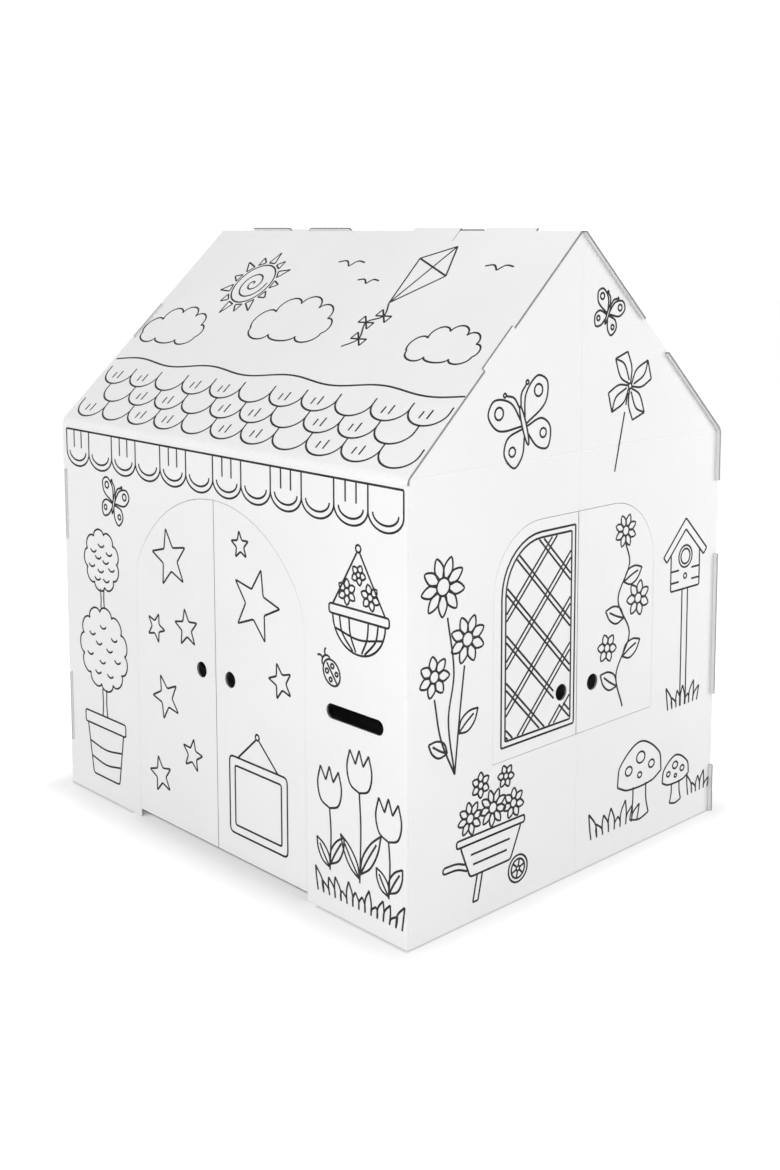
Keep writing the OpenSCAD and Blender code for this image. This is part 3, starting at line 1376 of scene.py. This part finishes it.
@dataclass(frozen=True)
class Trellis:
    """Crossed laths inside a double frame, printed on a window shutter."""

    inner: float = 7.0
    outer: float = 160.0
    foot: float = 226.0
    head: float = 514.0
    corner: float = 80.0
    corner_parts: int = 9
    frame_gap: float = 8.0
    lath_gap: float = 9.5
    lath_half: float = 5.0
    lath_run: float = 180.0
    lath_levels: range = range(-8, 12)
    pitch: float = 66.0
    hole_room: float = 17.0

    def inside(self, inset: float) -> Callable[[Point], bool]:
        """Makes a test for points within the frame.

        Args:
            inset: How far inside the frame's line a point has to be.

        Returns:
            The test.
        """
        inner, outer = self.inner + inset, self.outer - inset
        foot, head = self.foot + inset, self.head - inset

        def test(point: Point) -> bool:
            """Says whether a point lies within the frame and clear of the finger hole.

            Args:
                point: The point.

            Returns:
                True where it does.
            """
            u, v = point
            if not (inner < u < outer and foot < v < head):
                return False
            if math.hypot(u - FINGER_IN / MM, v - FINGER_Z / MM) < self.hole_room:
                return False
            past = (u - (self.outer - self.corner), v - (self.head - self.corner))
            return min(past) < 0 or math.hypot(*past) < self.corner - inset

        return test

    def frame_line(self, inset: float) -> Sketch:
        """Draws the frame's outline.

        Args:
            inset: How far it is moved in.

        Returns:
            The drawing.
        """
        inner, outer = self.inner + inset, self.outer - inset
        foot, head, radius = self.foot + inset, self.head - inset, self.corner - inset
        middle, parts = (outer - radius, head - radius), self.corner_parts
        bend = [polar(radius, math.pi / 2 * i / parts, middle) for i in range(parts + 1)]
        return Sketch().lines((inner, foot), (outer, foot), *bend, (inner, head), closed=True, radius=3)

    def sketch(self) -> Sketch:
        """Draws the trellis for a shutter on the right of its window.

        Returns:
            The drawing.
        """
        laths = Sketch()
        for i in self.lath_levels:
            for slant in (1, -1):
                for shift in (-self.lath_half, self.lath_half):
                    level = self.foot + self.pitch * i + shift
                    laths.lines((0, level), (self.lath_run, level + self.lath_run * slant))
        drawn = self.frame_line(0).add(self.frame_line(self.frame_gap))
        return drawn.add(laths.clipped(self.inside(self.lath_gap)))


def front_wall_print() -> Sketch:
    """Draws the front wall beside and above its doors.

    Returns:
        The drawing.
    """
    drawn = Awning().sketch()
    drawn.add(topiary(), (-302, 34))
    drawn.add(butterfly(), (-262, 496), size=0.58, turn=-16)
    drawn.add(hanging_basket(), (312, 520), size=0.94)
    drawn.add(ladybird(), (258, 338), size=0.72, turn=38)
    for u, v, stem in ((252, 148, 104), (312, 186, 148), (368, 136, 92)):
        drawn.add(tulip(stem), (u, v), size=0.84)
    return drawn.add(grass(166, 34, 14), (310, 24))


def left_door_print() -> Sketch:
    """Draws the left door."""
    upper = starry((-112, 432, 46, 12), (-152, 318, 24, -20), (-72, 332, 30, 8))
    return upper.add(starry((-128, 212, 36, 24), (-62, 138, 26, -8), (-146, 84, 30, 14)))


def right_door_print() -> Sketch:
    """Draws the right door."""
    stars = starry((96, 400, 54, -14), (150, 300, 27, 18), (62, 480, 21, 6))
    return Sketch().add(sign_board(), (96, 206)).add(stars)


def right_gable_print() -> Sketch:
    """Draws the right gable round its window.

    Returns:
        The drawing.
    """
    drawn = Sketch().add(butterfly(), (-118, 664), size=0.94, turn=18)
    drawn.add(pinwheel(), (112, 700), size=0.84, turn=-14)
    drawn.add(butterfly(), (58, 806), size=0.5, turn=-24)
    for u, v, radius, petals in ((-272, 470, 40, 9), (-226, 392, 33, 8), (-288, 354, 28, 7)):
        drawn.add(daisy(radius, petals), (u, v), turn=u)
    root = (-250, 214)
    drawn.curve((-264, 428), (-252, 352), (-262, 290), root)
    drawn.curve((-232, 358), (-240, 300), root)
    drawn.curve((-288, 324), (-276, 268), root)
    drawn.add(leaf(46, 24), (-243, 268), turn=36).add(leaf(40, 22), (-264, 246), turn=150)
    drawn.add(bird_house(206), (258, 376), size=0.9)
    drawn.add(barrow(), (-178, 26), size=0.72)
    drawn.add(mushroom(), (152, 42), size=1.04).add(mushroom(), (244, 40), size=0.66, flip=True)
    return drawn.add(grass(110, 40, 8), (92, 38)).add(grass(52, 34, 5), (304, 40))


def blossom_shutter_print() -> Sketch:
    """Draws a shutter with a climbing plant."""
    return Sketch().add(climber(), (106, 224))


def star_shutter_print(side: float) -> Sketch:
    """Draws a shutter with three stars, on one side of its window."""
    stars = ((104, 420, 38), (70, 332, 24), (112, 264, 30))
    return starry(*((u * side, v, radius, u * side) for u, v, radius in stars))


def front_slope_print() -> Sketch:
    """Draws the front roof slope.

    Returns:
        The drawing.
    """
    drawn = Shingles().sketch().add(sun(43), (-206, 320))
    for u, v, width in ((-318, 186, 148), (-40, 214, 168), (304, 196, 124)):
        drawn.add(cloud(width), (u, v))
    drawn.add(kite(), (166, 356), size=0.8, turn=-24)
    for u, v, size in ((-10, 366, 0.9), (58, 330, 0.7), (300, 366, 0.8)):
        drawn.add(bird(), (u, v), size=size)
    return drawn


def rear_slope_print() -> Sketch:
    """Draws the rear roof slope, plainer than the front one.

    Returns:
        The drawing.
    """
    drawn = Shingles().sketch()
    for u, v, width in ((-210, 232, 160), (30, 276, 140), (240, 226, 160)):
        drawn.add(cloud(width), (u, v))
    return drawn


def rear_wall_print() -> Sketch:
    """Draws the rear wall, plainer than the front one.

    Returns:
        The drawing.
    """
    drawn = Awning().sketch()
    for i, u in enumerate(range(-320, 321, 128)):
        taller = 26 * (i % 2)
        drawn.add(tulip(84 + taller), (u, 126 + taller))
    return drawn


def left_gable_print() -> Sketch:
    """Draws the left gable, plainer than the right one.

    Returns:
        The drawing.
    """
    drawn = Sketch()
    for side in (-1, 1):
        drawn.add(butterfly(), (side * 104, 668), size=0.9, turn=-side * 14)
    for u in (-256, 256):
        drawn.add(starry((u, 430, 34, u), (u, 300, 26, u)))
    for u in (-240, -120, 120, 240):
        drawn.add(tulip(70), (u, 112), size=0.9)
    return drawn


@dataclass
class PrintedDrawings:
    """The drawings of the whole fort, one piece for each panel or flap."""

    pen: Pen = field(default_factory=Pen)
    ink: InkFinish = InkFinish("printed_ink")

    def plan(self) -> Iterable[tuple[str, str, Panel, Sketch]]:
        """Lists the drawings.

        Returns:
            The piece's name, its body, its panel and its sketch, for each.
        """
        panels = (
            (FRONT_WALL, front_wall_print()),
            (REAR_WALL, rear_wall_print()),
            (RIGHT_GABLE, right_gable_print()),
            (LEFT_GABLE, left_gable_print()),
            (FRONT_SLOPE, front_slope_print()),
            (REAR_SLOPE, rear_slope_print()),
        )
        for panel, sketch in panels:
            yield f"{panel.name}_print", "house", panel, sketch
        flaps = {
            "left_door": left_door_print(),
            "right_door": right_door_print(),
            "right_front_shutter": Sketch().add(Trellis().sketch(), flip=True),
            "right_rear_shutter": blossom_shutter_print(),
            "left_front_shutter": star_shutter_print(1),
            "left_rear_shutter": star_shutter_print(-1),
        }
        for flap, sketch in flaps.items():
            yield f"{flap}_print", flap, FLAPS[flap], sketch

    def build(self) -> None:
        """Makes every drawing, inks it and lets it ride on its body."""
        material = self.ink.material()
        for name, body, panel, sketch in self.plan():
            piece = self.pen.draw(name, sketch, panel)
            piece.data.materials.clear()
            piece.data.materials.append(material)
            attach(piece, body)
            log.info("printed %s: %d faces on %s", name, len(piece.data.polygons), body)


@dataclass
class CardHouse:
    """The two sheets, bent at their folds, and their flaps."""

    stock: CardStock = field(default_factory=CardStock)

    def dress(self) -> None:
        """Gives every piece of card its finishes."""
        CardPiece("front_half", (FRONT_WALL, RIGHT_GABLE, FRONT_SLOPE), -1.0).dress(self.stock)
        CardPiece("rear_half", (REAR_WALL, LEFT_GABLE, REAR_SLOPE), 1.0).dress(self.stock)
        for flap, panel in FLAPS.items():
            CardPiece(flap, (panel,)).dress(self.stock)


@dataclass(frozen=True)
class SoftLight:
    """A large soft light that looks at a point."""

    name: str
    spot: Triple
    aim: Triple
    size: float
    power: float

    def build(self) -> None:
        """Adds the light to the scene."""
        light = add_object(bpy.ops.object.light_add, self.name, type="AREA", location=self.spot)
        look = Vector(self.aim) - Vector(self.spot)
        light.rotation_euler = look.to_track_quat("-Z", "Y").to_euler()
        light.data.shape = "DISK"
        light.data.size = self.size
        light.data.energy = self.power
        light.visible_camera = False


@dataclass(frozen=True)
class PaleFloor:
    """Pale floor, bright to the eye all round the fort, with painted shade along the fort's foot, a thin
    painted shadow line where its walls stand and painted light at and under its doors.

    The edges are where a change starts and ends, in metres: in front of the front wall's outer face, or
    to either side of its middle.
    """

    size: float = 30.0
    level: float = -0.5 * MM
    white: Triple = (0.65, 0.65, 0.65)
    lighter: float = 1.03
    grain: Grain = Grain(40.0, 3.0)
    roughness: float = 0.9
    glow: float = 0.6
    # Painted floor shade: the width of the dark line at the walls' foot, the shade there and how far it
    # reaches.
    contact_shadow: float = 7 * MM
    shade: float = 0.42
    shade_reach: float = 120 * MM
    gable_pull: float = 1.5
    gap_front_edge: Point = (-17.5 * MM, -13.5 * MM)
    gap_side_edge: Point = (0.222, 0.226)
    door_front_edge: Point = (-12 * MM, 14 * MM)
    door_side_edge: Point = (0.19, 0.212)
    # Painted light: how much brighter the floor glows at and under the doors.
    door_light: float = 0.35

    def brightness(self, book: NodeBook, place: Value) -> Value:
        """Works out how much the floor glows.

        Args:
            book: The floor's nodes.
            place: Object coordinates.

        Returns:
            0 under the fort but for the gap under its doors, painted shade with a thin painted shadow line at
            its foot, painted light at its doors, and 1 away from it.
        """
        across = abs(book.axis(place, (1.0, 0.0, 0.0)))
        front = book.axis(place, (0.0, -1.0, 0.0)) - HALF_D
        out_x = (across - HALF_L).larger(0.0) * self.gable_pull
        out_y = (abs(front + HALF_D) - HALF_D).larger(0.0)
        away = (out_x * out_x + out_y * out_y).root()
        under_doors = front.ramp(*self.gap_front_edge) * (1.0 - across.ramp(*self.gap_side_edge))
        # Painted shadow: no glow in a thin line along the walls' foot, except in the gap under the doors.
        clear = away.ramp(0.0, self.contact_shadow).larger(under_doors)
        # Painted light at and under the doors.
        at_doors = (1.0 - front.ramp(*self.door_front_edge)) * (1.0 - across.ramp(*self.door_side_edge))
        # Painted shade: the glow rises from the foot's shade to full away from the fort.
        open_floor = away.ramp(0.0, self.shade_reach) * (1.0 - self.shade)
        return clear * (self.shade + open_floor + at_doors * self.door_light)

    def build(self) -> None:
        """Adds the floor to the scene."""
        plane = bpy.ops.mesh.primitive_plane_add
        floor = add_object(plane, "floor", size=self.size, location=(0.0, 0.0, self.level))
        material, book = new_material("pale_floor")
        place = book.place()
        lighter = tuple(min(1.0, c * self.lighter) for c in self.white)
        seen = book.value("ShaderNodeLightPath", output="Is Camera Ray")
        glow = self.brightness(book, place) * seen
        book.principled(
            {
                "Base Color": book.blend(book.noise(place, self.grain), self.white, lighter),
                "Roughness": self.roughness,
                "Specular IOR Level": 0.0,
                "Emission Color": book.blend(glow, (0.0, 0.0, 0.0), (1.0, 1.0, 1.0)),
                "Emission Strength": self.glow,
            }
        )
        floor.data.materials.append(material)


@dataclass(frozen=True)
class Studio:
    """Camera, white surroundings, floor and soft lights."""

    camera_spot: Triple = (1.6892, -1.5841, 0.9297)
    azimuth: float = 46.546
    elevation: float = 6.78
    roll: float = -0.119
    lens: float = 45.04
    sensor: float = 36.0
    shift_y: float = -0.158
    clip_end: float = 60.0
    horizon: float = 0.8
    zenith: float = 0.57
    zenith_from: float = 0.9
    backdrop: float = 1.2
    floor: PaleFloor = PaleFloor()
    lights: tuple[SoftLight, ...] = (
        SoftLight("corner_light", (1.0, -1.0, 0.6), (0.4, -0.33, 0.45), 0.7, 3.8),
        SoftLight("right_light", (1.25, 1.35, 0.6), (0.4, 0.3, 0.4), 0.9, 9.6),
        SoftLight("left_light", (-1.3, -2.6, 1.1), (-0.25, -0.33, 0.45), 1.6, 25.0),
        SoftLight("high_light", (1.5, 0.1, 1.7), (0.4, 0.0, 0.7), 0.9, 4.2),
        SoftLight("left_ridge_light", (-0.26, -0.1, 1.24), (-0.26, -0.02, 0.9), 0.4, 0.16),
        SoftLight("right_ridge_light", (0.32, -0.1, 1.24), (0.32, -0.02, 0.9), 0.4, 0.22),
        SoftLight("far_light", (-2.1, 0.5, 0.9), (-0.4, 0.0, 0.45), 1.2, 9.0),
    )

    def add_camera(self) -> None:
        """Adds the camera at the photograph's place."""
        turn, rise = math.radians(self.azimuth), math.radians(self.elevation)
        level = math.cos(rise)
        back = Vector((math.sin(turn) * level, -math.cos(turn) * level, math.sin(rise)))
        right = Vector(UP).cross(back).normalized()
        axes = Matrix((right, back.cross(right), back)).transposed().to_4x4()
        roll = Matrix.Rotation(math.radians(self.roll), 4, "Z")
        camera = add_object(bpy.ops.object.camera_add, "camera")
        camera.matrix_world = Matrix.Translation(self.camera_spot) @ axes @ roll
        camera.data.lens = self.lens
        camera.data.sensor_width = self.sensor
        camera.data.shift_y = self.shift_y
        camera.data.clip_end = self.clip_end
        bpy.context.scene.camera = camera

    def add_surroundings(self) -> None:
        """Sets a white world that is brighter near the horizon than overhead."""
        world = bpy.data.worlds.new("white_studio")
        bpy.context.scene.world = world
        world.use_nodes = True
        book = NodeBook(world.node_tree)
        direction = book.value("ShaderNodeTexCoord", output="Generated")
        height = book.axis(direction, UP).ramp(0.0, self.zenith_from)
        seen = book.value("ShaderNodeLightPath", output="Is Camera Ray")
        light = self.horizon - height * (self.horizon - self.zenith)
        sockets = {"Color": (1.0, 1.0, 1.0, 1.0), "Strength": light.larger(seen * self.backdrop)}
        shader = book.node("ShaderNodeBackground", None, sockets)
        book.node("ShaderNodeOutputWorld", None, {"Surface": shader.outputs[0]})

    def build(self) -> None:
        """Sets up the whole studio."""
        bpy.context.scene.view_settings.view_transform = "Standard"
        self.add_camera()
        self.floor.build()
        self.add_surroundings()
        for light in self.lights:
            light.build()
        log.info("studio ready")


def main() -> None:
    """Builds the studio, dresses the card and prints the drawings."""
    logging.basicConfig(level=logging.INFO, format="%(name)s: %(message)s")
    Studio().build()
    CardHouse().dress()
    PrintedDrawings().build()


if __name__ == "__main__":
    main()
